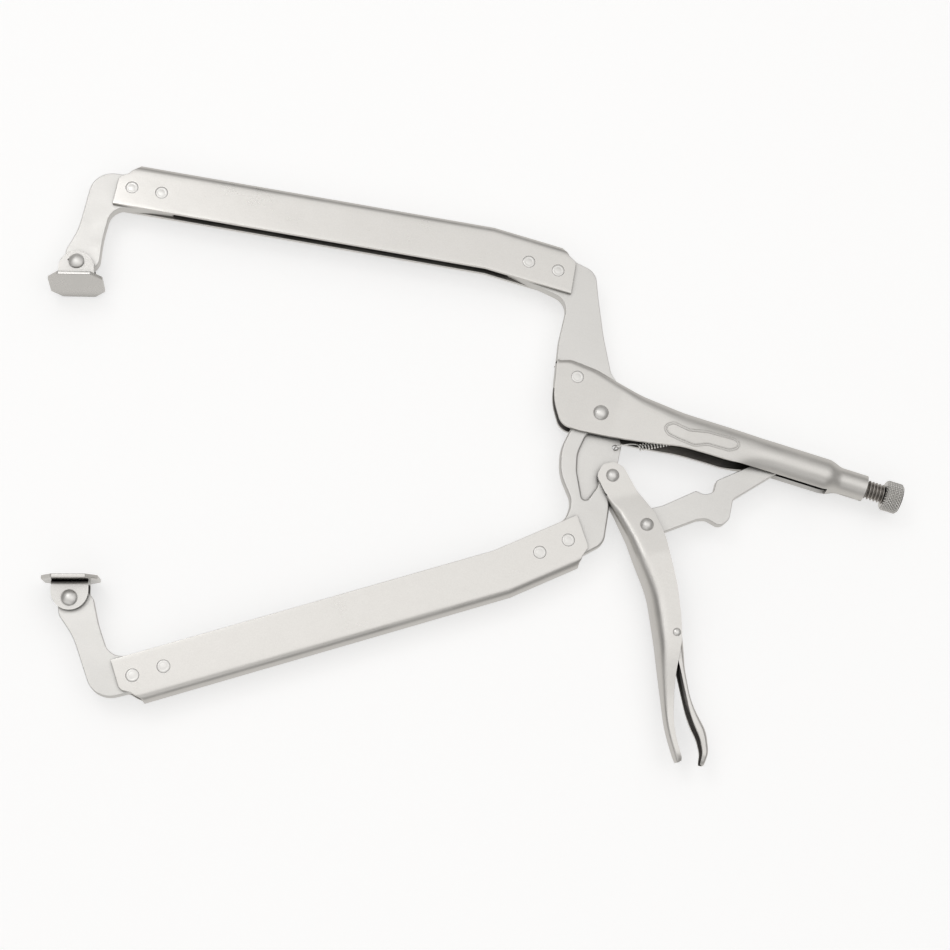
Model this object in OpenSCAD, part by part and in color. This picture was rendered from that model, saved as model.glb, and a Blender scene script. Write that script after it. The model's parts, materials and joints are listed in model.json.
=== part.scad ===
// Long-reach locking C-clamp pliers with swivel pads, lying on its side.
// Every sub-part is drawn in a working frame: origin at the main pivot on the
// mid-plane, +X along the handle towards the knob, +Z across the tool.

/* [Material] */
// Thickness of the pressed sheet pieces
sheet_t = 2.1; // [2:0.1:2.2]
// Thickness of the flat jaw, root and tip plates
plate_t = 6.35; // [6.2:0.05:6.4]
// Side clearance between a plate that turns and the cheek beside it
side_gap = 0.15; // [0.1:0.05:0.25]

/* [Arms] */
// Depth of the arm channels, from the open edge to the back
arm_depth = 24.7; // [24:0.1:25.5]
// Distance from the rear rivet to the front rivet of an arm
arm_span = 227.5; // [224:0.5:231]
// Rivet diameter in the arms
arm_rivet_d = 6.4; // [5.6:0.1:7]
// Direction of the upper arm
upper_angle = -173.1; // [-174:0.1:-172]
// Direction of the lower arm with the jaws open
lower_angle = -144.7; // [-146:0.1:-144]

/* [Handle] */
// Outside diameter of the handle tube
tube_d = 18.8; // [18.4:0.1:19.2]
// Distance from the main pivot to the end of the threaded socket
socket_end = 143; // [141:0.5:145]
// Outside diameter of the threaded socket
socket_d = 13.8; // [13:0.1:14.5]
// Height of the screw axis above the main pivot
axis_y = 5.3; // [5:0.1:5.6]

/* [Adjusting screw] */
// Diameter of the adjusting screw
screw_d = 10; // [9.6:0.1:10.2]
// Clearance between the screw and its socket
screw_gap = 0.06; // [0.04:0.01:0.1]
// Free screw length between the socket and the knob
screw_free = 10.2; // [8:0.1:12]
// Diameter of the knurled knob
knob_d = 16; // [15:0.5:17]
// Length of the knurled knob
knob_l = 9.2; // [8:0.1:10]

/* [Levers] */
// Outside width of the lever channel
lever_w = 19; // [18.6:0.1:19.2]
// Outside width of the release lever channel
release_w = 14.2; // [13.6:0.1:14.4]
// Thickness of the toggle link
link_t = 6; // [5:0.1:6.4]

/* [Pads] */
// Width of the octagonal pad plate
pad_w = 27.8; // [27:0.1:30]
// Distance from the pad rivet to the gripping face
pad_reach = 11.6; // [11.4:0.1:12]
// Swivel of the upper pad from its neutral direction
upper_swivel = 16; // [-20:1:20]
// Swivel of the lower pad from its neutral direction
lower_swivel = 20; // [-20:1:20]
// Rock of the upper pad about its long direction
upper_rock = 4; // [-5:0.5:5]
// Rock of the lower pad about its long direction
lower_rock = 5; // [-5:0.5:5]

/* [Hidden] */
$fn = 48;

// Working points, measured from the main pivot
lever_pivot = [14.9, -30.5];
link_pivot = [38.6, -50.8];
link_nose = [97, axis_y];
release_pivot = [67.6, -100.1];
fixed_rivet = [-17, 14.9];
upper_root = [-43, 68.4];
lower_root = [2.5, -70.3];
// Rivets of an arm in its own frame: x from the rear rivet to the front, y to the back
rear_rivets = [[0, 0], [16, 1.7]];
front_rivets = [[arm_span - 15.6, 0.3], [arm_span, 0]];
pad_pivot = [arm_span + 18.7, -46.3];
arm_front = arm_span + 8;
arm_rear = -8.9;
arm_bend = 38;
open_edge = -6.3;
front_drop = -1.25;
rear_drop = 6;
leg_spare = 12;

arm_w = plate_t + 2 * sheet_t + 0.05;
cheek_in = plate_t / 2 + side_gap;
cheek_out = cheek_in + sheet_t;
full_out = lever_w / 2;
full_in = full_out - sheet_t;
tube_r = tube_d / 2;
tube_y = 5;
socket_r = socket_d / 2;
screw_r = screw_d / 2;
screw_tip = 114;
knob_start = socket_end + screw_free;
ear_in = plate_t / 2 + 1;
ear_out = ear_in + sheet_t;
pad_t = 2.1;
pad_flat = 7.4;
// Pad directions that face the main pivot squarely, from the arm's own direction
upper_neutral = 5.5;
lower_neutral = 2.5;
bracket_t = 2;

// Rivets: shank radii, and how far a flush or a domed one stands off
main_r = 3.5;
fixed_r = 3.2;
lever_r = 3;
link_r = 3;
release_r = 1.8;
pad_r = 2.4;
pivot_gap = 0.05;
flush_rise = 0.3;
pad_head_gap = 0.45;
through = 60;
eye_out = cheek_out + 0.1;
link_head_z = 8.2;
link_nose_r = 4.4;
link_eye_r = 6.3;

// Return spring
anchor = [58, 7.5];
anchor_r = 1.5;
wire_d = 1.1;
hook_hole = [12.5, -14.6];
hook_hole_r = 1.5;
hook_lean = 28.8;
hook_l = 7.4;
hook_gap = 0.3;

// Places the working frame: origin under the middle of the tool's box, on its lowest face
pad_pivot_upper = upper_root + arm_span_vector(upper_angle, -1);
box_left = pad_pivot_upper[0] - pad_w / 2 * cos(upper_turn())
    + sin(upper_turn()) * (plate_back() * cos(upper_rock) - pad_flat * sin(upper_rock));
box_right = knob_start + knob_l;
box_bottom = -215.1;
box_top = 82.852;
centre = [(box_left + box_right) / 2, (box_bottom + box_top) / 2];

function plate_back() = pad_reach - pad_t;
function upper_turn() = 180 + upper_angle - upper_neutral + upper_swivel;
function arm_span_vector(angle, side) = turned([pad_pivot[0], side * pad_pivot[1]], angle);
function turned(p, a) = [p[0] * cos(a) - p[1] * sin(a), p[0] * sin(a) + p[1] * cos(a)];
function unit(v) = v / norm(v);
function wrapped(a) = a - 360 * floor((a + 180) / 360);
function bearing(v) = atan2(v[1], v[0]);

// Arc through two tangent points about a centre
function corner_arc(c, r, a0, sweep, n) =
    [for (i = [0:n]) c + r * [cos(a0 + sweep * i / n), sin(a0 + sweep * i / n)]];

// One corner [x, y, r] of an outline, rounded to its radius
function corner(before, here, after) =
    let (
        p = [here[0], here[1]],
        u = unit([before[0], before[1]] - p),
        v = unit([after[0], after[1]] - p),
        half = acos(u * v) / 2,
        c = p + unit(u + v) * here[2] / sin(half),
        reach = here[2] / tan(half),
        a0 = bearing(p + u * reach - c),
        sweep = wrapped(bearing(p + v * reach - c) - a0)
    )
    corner_arc(c, here[2], a0, sweep, max(1, ceil(abs(sweep) / 12)));

// Outline whose corners [x, y, r] are rounded
function rounded(pts) =
    let (n = len(pts))
    [for (i = [0:n - 1])
        each pts[i][2] == 0
            ? [[pts[i][0], pts[i][1]]]
            : corner(pts[(i + n - 1) % n], pts[i], pts[(i + 1) % n])];

// Flat plate of an outline, centred across the tool
module plate(pts, t) {
    linear_extrude(t, center = true) polygon(rounded(pts));
}

// Plate cut by an outline seen from above: x along the tool, y across it
module plan(pts, height) {
    rotate([90, 0, 0]) linear_extrude(height, center = true) polygon(pts);
}

// Headless pin across the tool
module pin(p, r, length) {
    translate([p[0], p[1], -length / 2]) cylinder(r = r, h = length);
}

// Straight wire between two points of the plane
module rod(from, to) {
    translate(from) rotate(bearing(to - from)) rotate([0, 90, 0])
        cylinder(r = wire_d / 2, h = norm(to - from), $fn = 24);
}

// Domed head whose flat side is at height z
module dome(p, r, rise, z) {
    big = (r * r + rise * rise) / (2 * rise);
    for (side = [0, 1]) mirror([0, 0, side]) translate([p[0], p[1], z])
        rotate_extrude() intersection() {
            translate([0, rise - big]) circle(r = big, $fn = 96);
            square([r, rise]);
        }
}

// Rivet with a domed head on each side
module domed_rivet(p, shank_r, head_r, rise, z) {
    pin(p, shank_r, 2 * z);
    dome(p, head_r, rise, z);
}

// Frames of the two arms and of the part's own reference point
module at_upper() { translate(upper_root) rotate(upper_angle) mirror([0, 1, 0]) children(); }
module at_lower() { translate(lower_root) rotate(lower_angle) children(); }
module placed() { translate([-centre[0], -centre[1], pad_half()]) children(); }
function pad_half() = pad_w / 2 * cos(upper_rock) - plate_back() * sin(upper_rock);

// Section of an arm channel: legs that run down past the open edge, and a well rounded back
module channel_section(w, depth, back_r) {
    translate([-w / 2, -leg_spare]) square([w, leg_spare + depth - back_r]);
    translate([-w / 2 + back_r, -leg_spare]) square([w - 2 * back_r, leg_spare + depth]);
    for (s = [-1, 1]) translate([s * (w / 2 - back_r), depth - back_r]) circle(r = back_r);
}

// Two straight bars that meet at the bend; what lies under the backs of both is kept
module bent_bar(w, depth, back_r) {
    intersection_for(drop = [front_drop, rear_drop])
        translate([arm_bend, open_edge, 0]) rotate(drop) translate([-arm_span, 0, 0])
            rotate([0, 90, 0]) linear_extrude(2 * arm_span) channel_section(w, depth, back_r);
}

// Arm channel: sheet folded over a slightly bent back, with trimmed ends
module arm_channel() {
    back_r = 4.6;
    trim = rounded([
        [arm_rear, open_edge - (arm_bend - arm_rear) * tan(rear_drop), 0], [arm_bend, open_edge, 0],
        [arm_front, open_edge + (arm_front - arm_bend) * tan(front_drop), 0],
        [arm_front, 5.5, 2], [arm_front - 5.5, 8.6, 2], [arm_front - 9.5, 15, 0],
        [arm_front - 9.5, 24, 0], [-0.5, 24, 0], [-1, 13.5, 1], [-4, 10.5, 1], [arm_rear, 6, 1]
    ]);
    difference() {
        intersection() {
            bent_bar(arm_w, arm_depth, back_r);
            linear_extrude(2 * arm_w, center = true) polygon(trim);
        }
        bent_bar(arm_w - 2 * sheet_t, arm_depth - sheet_t, back_r - sheet_t);
        for (p = concat(rear_rivets, front_rivets)) pin(p, arm_rivet_d / 2, through);
    }
}

// Tip plate: from inside the channel round a corner and down to the pad rivet
module tip_plate() {
    x = pad_pivot[0];
    y = pad_pivot[1];
    difference() {
        union() {
            plate([
                [arm_span - 23.5, -8.6, 1], [arm_span - 23.5, 8.2, 3], [arm_span + 6, 7.2, 4],
                [x + 2.6, 6, 12], [x + 3.6, -28, 40], [x + 7.4, y + 6, 6], [x + 7.1, y, 0],
                [x, y - 6.9, 0], [x - 5, y - 5, 1], [x - 11.2, y, 3], [x - 9.8, -30, 60],
                [x - 10.4, -11.8, 9], [arm_span - 12, -9.3, 20]
            ], plate_t);
            pin(pad_pivot, 6.9, plate_t);
        }
        for (p = front_rivets) pin(p, arm_rivet_d / 2, through);
        pin(pad_pivot, pad_r + pivot_gap, through);
    }
}

module arm_rivets(points) {
    for (p = points) pin(p, arm_rivet_d / 2, arm_w + flush_rise);
}

// Pad frame: y points away from the arm, towards the gripping face
module at_pad(swivel, rock) {
    translate(pad_pivot) rotate(swivel) mirror([0, 1, 0]) rotate([rock, 0, 0]) children();
}
module at_upper_pad(rock = upper_rock) { at_upper() at_pad(upper_neutral - upper_swivel, rock) children(); }
module at_lower_pad(rock = lower_rock) { at_lower() at_pad(lower_neutral - lower_swivel, rock) children(); }

// Bracket of a pad: two round-topped ears and a base, folded from one strip
module pad_bracket() {
    ear_r = 9.6;
    ear_drop = 4.2;
    fold_r = 2.6;
    base_y = plate_back() - bracket_t;
    difference() {
        union() {
            for (s = [-1, 1]) translate([0, 0, s * (ear_in + sheet_t / 2)])
                linear_extrude(sheet_t, center = true) difference() {
                    union() {
                        intersection() {
                            translate([0, ear_drop]) circle(r = ear_r);
                            translate([-ear_r, ear_drop - ear_r]) square([2 * ear_r, ear_r]);
                        }
                        translate([-ear_r, ear_drop]) square([2 * ear_r, plate_back() - ear_drop]);
                    }
                    circle(r = 3.1);
                }
            translate([-ear_r, base_y, -ear_in]) cube([2 * ear_r, bracket_t, 2 * ear_in]);
        }
        for (s = [0, 1]) mirror([0, 0, s]) translate([0, plate_back() - fold_r, ear_out - fold_r])
            rotate([0, 90, 0]) linear_extrude(3 * ear_r, center = true) difference() {
                translate([-fold_r - 1, 0]) square([fold_r + 1, fold_r + 1]);
                circle(r = fold_r);
            }
    }
}

// Octagonal gripping plate of a pad
module pad_plate() {
    half = pad_w / 2;
    flat = pad_flat + 1;
    translate([0, plate_back(), 0]) rotate([-90, 0, 0]) linear_extrude(pad_t)
        polygon([
            [half, pad_flat], [flat, half], [-flat, half], [-half, pad_flat],
            [-half, -pad_flat], [-flat, -half], [flat, -half], [half, -pad_flat]
        ]);
}

module pad_rivet() { domed_rivet([0, 0], pad_r, 3.95, 1.4, ear_out + pad_head_gap); }

// ---- handle ----

// Plan of a pair of cheeks: half width "from" up to x1, opening to half width "to" at x2
function flare_to(x0, x1, x2, x3, from, to) =
    [[x0, -from], [x1, -from], [x2, -to], [x3, -to], [x3, to], [x2, to], [x1, from], [x0, from]];

module handle_body() color("silver") placed() {
    top = tube_y + tube_r;
    neck = 8;
    tube_from = 80;
    tube_to = socket_end - 21;
    difference() {
        union() {
            difference() {
                // cheeks and spine
                intersection() {
                    plate([
                        [-29.4, 21.2, 1.5], [-22.5, 23.8, 9], [-8, 23, 30], [18, 16.9, 60], [42, top, 60],
                        [tube_from + 2, top, 0], [tube_from + 2, -4.3, 0], [45, -5.1, 60], [27, -8.3, 90],
                        [10, -10.6, 30], [-8, -12.6, 9], [-18, -12.4, 8], [-25.6, 0, 30]
                    ], 2 * full_out);
                    plan(flare_to(-40, 8, 44, tube_from + 3, cheek_out, full_out), 100);
                }
                intersection() {
                    linear_extrude(40, center = true) polygon([
                        [-40, 40], [5, 40], [5, 17.8], [18, 14.7], [42, top - sheet_t],
                        [tube_from + 3, top - sheet_t], [tube_from + 3, -40], [-40, -40]
                    ]);
                    plan(flare_to(-41, 8, 44, tube_from + 4, cheek_in, full_in), 100);
                }
            }
            // closed tube, neck and socket
            translate([tube_from, tube_y, 0]) rotate([0, 90, 0]) cylinder(r = tube_r, h = tube_to - tube_from);
            translate([tube_to, tube_y, 0]) rotate([0, 90, 0])
                cylinder(r1 = tube_r, r2 = socket_r + 0.01, h = neck);
            translate([tube_to + neck - 1, axis_y, 0]) rotate([0, 90, 0])
                cylinder(r = socket_r, h = socket_end - tube_to - neck + 1);
        }
        // inside of the tube, and the slot the link swings through
        translate([tube_from - 1, tube_y, 0]) rotate([0, 90, 0])
            cylinder(r = tube_r - sheet_t, h = tube_to - tube_from);
        translate([tube_from - 1, tube_y - 20, -4.8]) cube([socket_end - 18 - tube_from, 20, 9.6]);
        // threaded bore
        translate([tube_to - 4, axis_y, 0]) rotate([0, 90, 0])
            cylinder(r = screw_r + screw_gap, h = socket_end - tube_to + 8);
        pin([0, 0], main_r, through);
        pin(fixed_rivet, fixed_r, through);
        pin(anchor, anchor_r, 2 * full_in + 2);
    }
}

module main_pivot_rivet() color("gainsboro") placed() domed_rivet([0, 0], main_r, 4, 1.7, cheek_out);
module fixed_jaw_rivet() color("gainsboro") placed() pin(fixed_rivet, fixed_r, 2 * cheek_out + flush_rise);
module spring_anchor_pin() color("gray") placed() pin(anchor, anchor_r, 2 * full_in + 1.8);

// Fixed jaw root: from between the cheeks up into the rear of the upper arm
module fixed_jaw_root() color("whitesmoke") placed() {
    hub_clear = 13.2;
    difference() {
        union() {
            plate([
                [-27.5, 7.5, 3], [-12, 5, 1], [-4, 12.5, 0], [4.6, 13.2, 0.5], [4.6, 18.6, 0.8], [-0.6, 23, 12],
                [-10, 41.5, 60], [-18.5, 61.5, 30], [-23.6, 74.8, 9], [-36, 77, 4], [-68, 68, 1],
                [-68, 59.6, 1], [-44, 56.4, 20], [-33.2, 54.6, 9], [-31.8, 32, 30]
            ], plate_t);
        }
        pin([0, 0], hub_clear, 3 * plate_t);
        pin(fixed_rivet, fixed_r, through);
        at_upper() for (p = rear_rivets) pin(p, arm_rivet_d / 2, through);
    }
}

// Extension spring: a row of close turns between the anchor pin and the hook
module return_spring() color("dimgray") placed() {
    coil_from = [22.4, -8.6];
    coil_to = anchor - [3, 1.3];
    wire_r = wire_d / 2;
    coil_r = 1.5;
    turns = 17;
    run = coil_to - coil_from;
    translate(coil_from) rotate(bearing(run)) rotate([0, 90, 0])
        rotate_extrude() difference() {
            square([coil_r + wire_r, norm(run)]);
            translate([-1, -1]) square([coil_r - wire_r + 1, norm(run) + 2]);
            for (i = [0:turns]) translate([coil_r + wire_r + 0.3, norm(run) * i / turns])
                circle(r = 0.5, $fn = 4);
        }
}

// ---- upper arm ----
module upper_arm_channel() color("silver") placed() at_upper() arm_channel();
module upper_tip_plate() color("whitesmoke") placed() at_upper() tip_plate();
module upper_rear_rivets() color("gainsboro") placed() at_upper() arm_rivets(rear_rivets);
module upper_front_rivets() color("gainsboro") placed() at_upper() arm_rivets(front_rivets);
module upper_pad_rivet() color("gainsboro") placed() at_upper_pad(0) pad_rivet();
module upper_pad_bracket() color("silver") placed() at_upper_pad() pad_bracket();
module upper_pad_plate() color("silver") placed() at_upper_pad() pad_plate();

// ---- lower jaw and arm ----
module lower_jaw() color("whitesmoke") placed() {
    web_half = 1.2;
    difference() {
        union() {
            pin([0, 0], 12.2, plate_t);
            plate([
                [-10.5, 3, 4], [-12.6, -12.5, 14], [-14.6, -24, 22], [-11.5, -37, 26], [-1.2, -50, 11],
                [-2, -60, 7],
                [-22.4, -77.9, 1], [-16.8, -87.9, 1], [-4, -78.5, 4], [11.5, -75.3, 6], [20.6, -66, 8],
                [18, -46, 30], [15.2, -38.5, 2], [16.1, -24, 6], [15.4, -13, 4], [9, -5, 6]
            ], plate_t);
        }
        pin([0, 0], main_r + pivot_gap, through);
        pin(lever_pivot, lever_r, through);
        pin(hook_hole, hook_hole_r, through);
        at_lower() for (p = rear_rivets) pin(p, arm_rivet_d / 2, through);
        for (s = [0, 1]) mirror([0, 0, s]) translate([0, 0, web_half])
            linear_extrude(plate_t) polygon(rounded([
                [-4, -14.5, 2], [-5.3, -24, 10], [-3.2, -33, 10], [4.9, -49.8, 2], [9, -38, 8],
                [8.8, -28, 4], [12, -23.6, 3], [24, -26, 0], [24, -8.5, 0], [9, -9.5, 3], [-2, -9.8, 2]
            ]));
    }
}

module lower_arm_channel() color("silver") placed() at_lower() arm_channel();
module lower_tip_plate() color("whitesmoke") placed() at_lower() tip_plate();
module lower_rear_rivets() color("gainsboro") placed() at_lower() arm_rivets(rear_rivets);
module lower_front_rivets() color("gainsboro") placed() at_lower() arm_rivets(front_rivets);
module lower_pad_rivet() color("gainsboro") placed() at_lower_pad(0) pad_rivet();
module lower_pad_bracket() color("silver") placed() at_lower_pad() pad_bracket();
module lower_pad_plate() color("silver") placed() at_lower_pad() pad_plate();
module lever_pivot_rivet() color("gainsboro") placed() domed_rivet(lever_pivot, lever_r, 3.4, 1.5, eye_out);

// Hook of the spring: a wire loop through the hole of the lower jaw
module spring_hook() color("dimgray") placed()
    translate(hook_hole) rotate(hook_lean) rotate([90, 0, 0])
        for (end = [0, 1]) translate([end * hook_l, 0, 0]) mirror([end, 0, 0]) {
            half_z = (plate_t + wire_d) / 2 + hook_gap;
            bend = 1.5;
            side = half_z - bend;
            rod([0, -side], [0, side]);
            for (s = [-1, 1]) {
                translate([bend, s * side, 0]) rotate(s > 0 ? 90 : 180)
                    rotate_extrude(angle = 90) translate([bend, 0]) circle(r = wire_d / 2, $fn = 24);
                rod([bend, s * half_z], [hook_l / 2, s * half_z]);
            }
        }

// ---- lever, link and release lever ----

module lever() color("silver") placed() {
    difference() {
        intersection() {
            lever_outline(full_out);
            lever_plan(eye_out, full_out);
        }
        intersection() {
            lever_cavity();
            lever_plan(eye_out - sheet_t, full_in);
        }
        pin(lever_pivot, lever_r + pivot_gap, through);
        pin(link_pivot, link_r, through);
        pin(release_pivot, release_r, through);
    }
}

// Side outline of the lever
module lever_outline(half) {
    plate([
        [14, -23.2, 3], [19, -24.2, 5], [28.5, -34, 12], [41, -43.2, 12], [49.3, -53.8, 12],
        [61.6, -76.6, 30], [67.3, -90.6, 10], [71, -102, 15], [73.3, -123.3, 60], [79.1, -146.1, 30],
        [87.8, -160, 1.5], [86.2, -163.8, 1.5], [75.3, -146.5, 30], [60.4, -109.3, 60],
        [49, -84.3, 60], [31.6, -60.5, 20], [14.6, -41.4, 5], [7, -33, 5], [8.6, -25.5, 5]
    ], 2 * half);
}

// Inside of the lever: everything on the handle side of its spine
module lever_cavity() {
    linear_extrude(2 * lever_w, center = true) polygon(rounded([
        [0, -10, 0], [60, -10, 0], [110, -100, 0], [110, -150, 0], [82.6, -152.2, 0],
        [77.1, -145.4, 30], [62.4, -108.4, 60], [50.9, -83.3, 60], [33.2, -59.2, 20],
        [19, -43.4, 0], [12, -50, 0], [0, -50, 0]
    ]));
}

// Lever width seen along its face: narrow at the eye, full from beyond the link
module lever_plan(narrow, wide) {
    along = bearing(link_pivot - lever_pivot);
    translate(lever_pivot) rotate(along)
        plan([
            [-20, -narrow], [12, -narrow], [46, -wide], [110, -wide], [132, -wide + 1.5], [150, -wide + 6],
            [150, wide - 6], [132, wide - 1.5], [110, wide], [46, wide], [12, narrow], [-20, narrow]
        ], 200);
}

module link_pivot_rivet() color("gainsboro") placed() domed_rivet(link_pivot, link_r, 3.4, 1.3, link_head_z);

module release_pivot_rivet() color("gainsboro") placed() 
    domed_rivet(release_pivot, release_r, 2.05, 0.8, full_out);

// Toggle link: flat plate with a notch above and a heel below, running up into the tube
module toggle_link() color("whitesmoke") placed() {
    difference() {
        union() {
            plate([
                [33, -52, 4], [36, -42, 5], [44, -37.3, 4], [58.6, -24.2, 2], [63.5, -24.9, 5],
                [67.6, -22, 3], [67.4, -15.6, 2], [82, -2.8, 6], [96, 9.5, 4.2], [101.3, 4, 4.2],
                [92.7, -6.1, 3], [78.2, -22.6, 3], [79, -33.5, 4], [75.6, -38.6, 4], [67.5, -36.8, 5],
                [63.4, -38.5, 3], [49, -49.8, 3], [41, -57, 5]
            ], link_t);
            pin(link_nose, link_nose_r, link_t);
            pin(link_pivot, link_eye_r, link_t);
        }
        pin(link_pivot, link_r + pivot_gap, through);
    }
}

// Release lever: narrow channel nested in the lever, splayed at its thumb end
module release_lever() color("silver") placed() {
    half = release_w / 2;
    difference() {
        plate([
            [63.8, -95.5, 3], [69.8, -95.9, 3], [72.4, -103, 8], [76.6, -116, 30], [84, -131.5, 20],
            [95.2, -143, 8], [99, -152.5, 6], [98.5, -160.2, 0.6], [97, -159.4, 0.6], [96, -153, 3],
            [92.6, -146.8, 10], [86, -139.2, 30], [74.4, -116.8, 20], [69.2, -107.6, 10], [62.5, -101, 4]
        ], release_w);
        linear_extrude(release_w - 2 * sheet_t, center = true) polygon(rounded([
            [50, -90, 0], [66.2, -90, 0], [69.8, -103.8, 8], [74.4, -117, 30], [82, -132.8, 20],
            [93.6, -144.5, 3], [96.5, -152, 0], [95.5, -170, 0], [50, -130, 0]
        ]));
        pin(release_pivot, release_r + pivot_gap, through);
    }
}

// ---- adjusting screw and knob ----
module adjusting_screw() color("gainsboro") placed() {
    spigot_l = 6;
    translate([screw_tip, axis_y, 0]) rotate([0, 90, 0]) {
        cylinder(r1 = 2.4, r2 = screw_r, h = 2.6);
        translate([0, 0, 2.6]) cylinder(r = screw_r, h = knob_start - screw_tip - 2.6);
        translate([0, 0, knob_start - screw_tip]) cylinder(r = 3, h = spigot_l);
    }
}

module knob() color("silver") placed() {
    rim = 0.9;
    translate([knob_start + 0.05, axis_y, 0]) rotate([0, 90, 0]) difference() {
        union() {
            cylinder(r1 = knob_d / 2 - rim, r2 = knob_d / 2, h = rim);
            translate([0, 0, rim]) cylinder(r = knob_d / 2, h = knob_l - 2 * rim - 0.05);
            translate([0, 0, knob_l - rim - 0.05]) cylinder(r1 = knob_d / 2, r2 = knob_d / 2 - rim, h = rim);
        }
        translate([0, 0, -1]) cylinder(r = 3.05, h = 7.1);
    }
}

handle_body();
fixed_jaw_root();
fixed_jaw_rivet();
main_pivot_rivet();
spring_anchor_pin();
return_spring();
upper_arm_channel();
upper_tip_plate();
upper_rear_rivets();
upper_front_rivets();
upper_pad_rivet();
upper_pad_bracket();
upper_pad_plate();
lower_jaw();
lower_arm_channel();
lower_tip_plate();
lower_rear_rivets();
lower_front_rivets();
lower_pad_rivet();
lower_pad_bracket();
lower_pad_plate();
lever_pivot_rivet();
spring_hook();
lever();
link_pivot_rivet();
release_pivot_rivet();
toggle_link();
release_lever();
adjusting_screw();
knob();
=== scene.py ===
import json
import math

import bmesh
import bpy
from mathutils import Matrix, Vector
from mathutils.bvhtree import BVHTree


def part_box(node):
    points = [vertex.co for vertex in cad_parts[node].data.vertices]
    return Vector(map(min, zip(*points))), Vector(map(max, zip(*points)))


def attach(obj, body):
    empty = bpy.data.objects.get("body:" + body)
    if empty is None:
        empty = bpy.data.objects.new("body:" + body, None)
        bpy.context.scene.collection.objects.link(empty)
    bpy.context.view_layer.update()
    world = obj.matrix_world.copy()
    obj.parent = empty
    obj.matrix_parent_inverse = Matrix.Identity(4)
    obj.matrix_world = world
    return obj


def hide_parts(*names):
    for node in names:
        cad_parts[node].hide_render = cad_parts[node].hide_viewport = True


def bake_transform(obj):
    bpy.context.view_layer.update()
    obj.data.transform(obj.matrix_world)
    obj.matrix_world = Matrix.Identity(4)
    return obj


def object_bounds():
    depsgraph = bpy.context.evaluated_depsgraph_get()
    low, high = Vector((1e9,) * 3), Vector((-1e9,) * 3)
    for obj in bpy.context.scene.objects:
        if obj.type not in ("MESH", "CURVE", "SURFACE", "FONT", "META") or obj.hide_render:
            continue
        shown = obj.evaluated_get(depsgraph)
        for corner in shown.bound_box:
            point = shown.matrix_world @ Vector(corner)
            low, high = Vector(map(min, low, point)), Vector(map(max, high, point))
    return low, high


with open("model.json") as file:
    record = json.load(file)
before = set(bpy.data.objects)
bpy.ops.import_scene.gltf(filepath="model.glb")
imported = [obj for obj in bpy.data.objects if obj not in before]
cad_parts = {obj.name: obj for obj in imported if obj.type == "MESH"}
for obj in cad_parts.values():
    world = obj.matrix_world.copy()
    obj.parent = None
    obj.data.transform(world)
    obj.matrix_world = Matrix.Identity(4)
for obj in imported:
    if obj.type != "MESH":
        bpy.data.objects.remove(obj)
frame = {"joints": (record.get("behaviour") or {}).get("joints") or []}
cad_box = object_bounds()

# ---------------------------------------------------------------- frame
# Shapes are drawn in millimetres around the main pivot: +X towards the knob, +Z across the tool.
# Pivots, widths and radii are read from the boxes of the CAD nodes. The other sizes follow the CAD's own.
MM = 0.001


def middle(node):
    low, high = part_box(node)
    return (low + high) / 2


def size(node):
    low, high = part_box(node)
    return (high - low) / MM


PIVOT = middle("main_pivot_rivet")
WORK = Matrix.Translation(PIVOT) @ Matrix.Scale(MM, 4)


def local(node):
    """Middle of a node in working millimetres."""
    p = (middle(node) - PIVOT) / MM
    return Vector((p.x, p.y))


LEVER_PIVOT = local("lever_pivot_rivet")
LINK_PIVOT = local("link_pivot_rivet")
RELEASE_PIVOT = local("release_pivot_rivet")
FIXED_RIVET = local("fixed_jaw_rivet")
ANCHOR = local("spring_anchor_pin")
UPPER_PAD = local("upper_pad_rivet")
LOWER_PAD = local("lower_pad_rivet")

SHEET = 2.1
PLATE = round(size("toggle_link").z + 0.35, 2)
ARM_W = round(size("upper_arm_channel").z, 2)
EYE_HALF = PLATE / 2 + 0.25 + SHEET
CHEEK_HALF = EYE_HALF - 0.1
FULL_HALF = size("handle_body").z / 2
RELEASE_HALF = size("release_lever").z / 2
KNOB_R = size("knob").y / 2
SCREW_R = size("adjusting_screw").y / 2
AXIS_Y = local("adjusting_screw").y
TUBE_Y = 5.0
TUBE_R = 9.4
SOCKET_R = 6.9
SOCKET_END = 143.0
RIVET_R = 3.2
MAIN_BORE, PIVOT_BORE, PAD_BORE = 3.55, 3.05, 2.5
HOOK_HOLE = Vector((12.5, -14.6))

UPPER_ANGLE = math.radians(-173.1)
LOWER_ANGLE = math.radians(-144.7)
UPPER_ROOT = Vector((-43, 68.4))
LOWER_ROOT = Vector((2.5, -70.3))
ARM_SPAN = 227.5
REAR_RIVETS = [(0, 0), (16, 1.7)]
FRONT_RIVETS = [(ARM_SPAN - 15.6, 0.3), (ARM_SPAN, 0)]
PAD_X, PAD_Y = ARM_SPAN + 18.7, -46.3

# Each arm is drawn along its own X, from the rear rivet to the front one.
MIRROR_Y = Matrix.Diagonal((1, -1, 1, 1))
UPPER = WORK @ Matrix.Translation(UPPER_ROOT.to_3d()) @ Matrix.Rotation(UPPER_ANGLE, 4, "Z") @ MIRROR_Y
LOWER = WORK @ Matrix.Translation(LOWER_ROOT.to_3d()) @ Matrix.Rotation(LOWER_ANGLE, 4, "Z")


# ---------------------------------------------------------------- outlines
ARC_STEP = 6.0


def polar(angle, radius):
    return Vector((math.cos(angle), math.sin(angle))) * radius


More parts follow.
